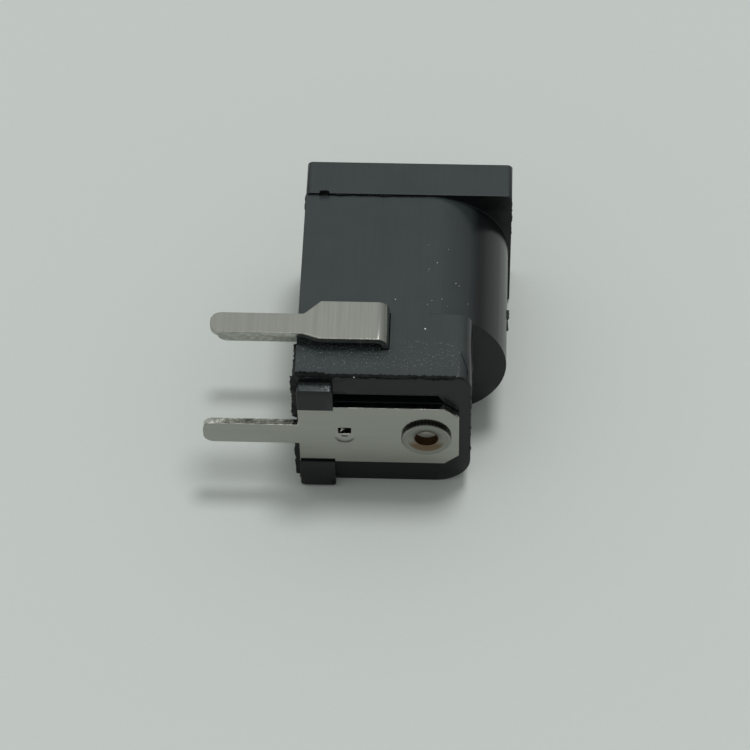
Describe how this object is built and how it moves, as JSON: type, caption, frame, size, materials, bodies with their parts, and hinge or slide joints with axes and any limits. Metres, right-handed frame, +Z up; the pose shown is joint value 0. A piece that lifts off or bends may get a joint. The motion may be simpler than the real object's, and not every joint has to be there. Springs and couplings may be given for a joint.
{
  "type": "dc barrel jack",
  "caption": "Through-hole DC power jack: moulded housing with a barrel socket, riveted centre pin, rear terminal, sleeve spring and side switch terminal, lying on its side wall.",
  "frame": {"origin": "centre of the underside of the whole part's box, on the surface that the side wall lies on", "axes": "+X from the circuit board towards the barrel's crown, +Y out of the plug socket, +Z up across the jack's width"},
  "size_m": [0.016, 0.015, 0.0098],
  "materials": {
    "black_moulding": "satin injection-moulded black polyester, spark-eroded patch behind the switch terminal",
    "plated_brass": "turned brass with a thin nickel plate, bare brass showing in the drilled rivet",
    "plated_sheet": "stamped brass sheet with satin nickel plate and faint rolling lines"
  },
  "bodies": {
    "root": {"housing": "black_moulding", "centre_pin": "plated_brass", "rear_terminal": "plated_sheet", "sleeve_spring": "plated_sheet", "switch_terminal": "plated_sheet"}
  },
  "joints": []
}
